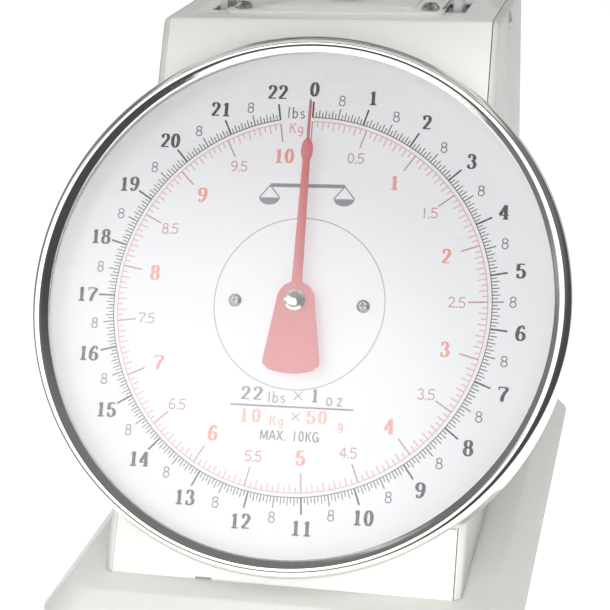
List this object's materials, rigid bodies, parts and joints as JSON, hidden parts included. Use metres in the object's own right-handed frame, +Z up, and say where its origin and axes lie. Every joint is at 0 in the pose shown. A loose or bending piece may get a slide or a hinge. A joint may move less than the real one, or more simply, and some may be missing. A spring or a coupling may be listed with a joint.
{
  "type": "mechanical dial platform scale",
  "caption": "Spring scale with a large round dial leaning on a sheet steel housing, and a square steel platform on top that sinks as the pointer turns.",
  "frame": {"origin": "on the table under the middle of the scale's box", "axes": "+Z up, +Y to the back, the dial faces -Y, +X to the right of someone reading it"},
  "size_m": [0.2258, 0.29, 0.27],
  "materials": {
    "enamel": "white stoved enamel, satin gloss, faint orange peel",
    "zinc": "zinc plated sheet steel",
    "steel": "bright turned steel",
    "spring_steel": "drawn spring wire",
    "brass": "machined brass",
    "bezel_chrome": "mirror polished",
    "stainless": "brushed stainless",
    "rubber": "matt black rubber",
    "gasket_rubber": "pale grey rubber",
    "dial_print": "printed white dial",
    "clear_lens": "clear domed cover",
    "pointer_red": "red satin paint",
    "knob_plastic": "knurled black plastic"
  },
  "bodies": {
    "housing": {"base_pan": "enamel", "bottom_plate": "zinc", "rubber_feet": "rubber", "foot_screws": "zinc", "front_panel": "enamel", "side_panel_left": "enamel", "side_panel_right": "enamel", "side_screws": "zinc", "side_spacers": "zinc", "rear_cover": "enamel", "rear_cover_screws": "zinc", "dial_case": "enamel", "dial_face": "dial_print", "dial_spacers": "brass", "dial_screws": "steel", "bezel_ring": "bezel_chrome", "lens": "clear_lens", "lens_gasket": "gasket_rubber", "top_bracket": "enamel", "top_bracket_screws": "steel", "main_frame": "zinc", "main_frame_screws": "zinc", "upper_fulcrum_shaft": "steel", "lower_fulcrum_shaft": "steel", "movement_front_plate": "brass", "movement_rear_plate": "brass", "movement_pillars": "brass", "movement_screws": "steel", "front_bush": "brass", "rear_bush": "brass", "rack_guide": "brass", "spring_hanger": "zinc"},
    "pointer_train": {"pointer": "pointer_red", "pointer_cap": "bezel_chrome", "pointer_arbor": "steel", "pinion": "brass"},
    "rack_assembly": {"rack": "steel", "rack_pin": "steel"},
    "platform_carriage": {"carriage": "zinc", "lower_tie_bar": "zinc", "tie_bar_screws": "steel", "spring_left": "spring_steel", "spring_right": "spring_steel", "pan_support": "zinc", "pan_support_screws": "steel", "support_pads": "rubber"},
    "upper_link_assembly": {"upper_link": "zinc", "upper_link_pins": "steel"},
    "lower_link_assembly": {"lower_link": "zinc", "lower_link_pins": "steel"},
    "zero_adjuster": {"zero_knob": "knob_plastic", "zero_screw": "steel", "zero_clip": "steel"},
    "pan": {"platform_pan": "stainless"}
  },
  "joints": [
    {"name": "platform_slide", "type": "slide", "parent": "housing", "child": "platform_carriage", "axis": [0, 0, -1], "range_m": [0, 0.0127], "stiffness_N_per_m": 7725, "springref_m": -0.0016, "deforming": ["spring_left", "spring_right"]},
    {"name": "pan_lift", "type": "slide", "parent": "platform_carriage", "child": "pan", "axis": [0, 0, 1], "range_m": [0, 0.03]},
    {"name": "rack_slide", "type": "slide", "parent": "housing", "child": "rack_assembly", "axis": [0, -0.5, -0.866], "range_m": [0, 0.01466]},
    {"name": "pointer_spin", "type": "hinge", "parent": "housing", "child": "pointer_train", "pos_m": [0, -0.067, 0.128], "axis": [0, 0.866, -0.5], "range_deg": [0, 350]},
    {"name": "upper_link_hinge", "type": "hinge", "parent": "housing", "child": "upper_link_assembly", "pos_m": [0, 0.083, 0.12965], "axis": [1, 0, 0], "range_deg": [0, 15.2]},
    {"name": "lower_link_hinge", "type": "hinge", "parent": "housing", "child": "lower_link_assembly", "pos_m": [0, 0.083, 0.06565], "axis": [1, 0, 0], "range_deg": [0, 15.2]},
    {"name": "zero_knob_turn", "type": "hinge", "parent": "housing", "child": "zero_adjuster", "pos_m": [0, 0.051, 0.238], "axis": [0, 0, 1], "range_deg": [-180, 180]}
  ],
  "couplings": [
    {"joint": "rack_slide", "follows": "platform_slide", "ratio": 1.1547},
    {"joint": "pointer_spin", "follows": "platform_slide", "rad_per_m": 481.11},
    {"joint": "upper_link_hinge", "follows": "platform_slide", "rad_per_m": 20.893},
    {"joint": "lower_link_hinge", "follows": "platform_slide", "rad_per_m": 20.893}
  ]
}
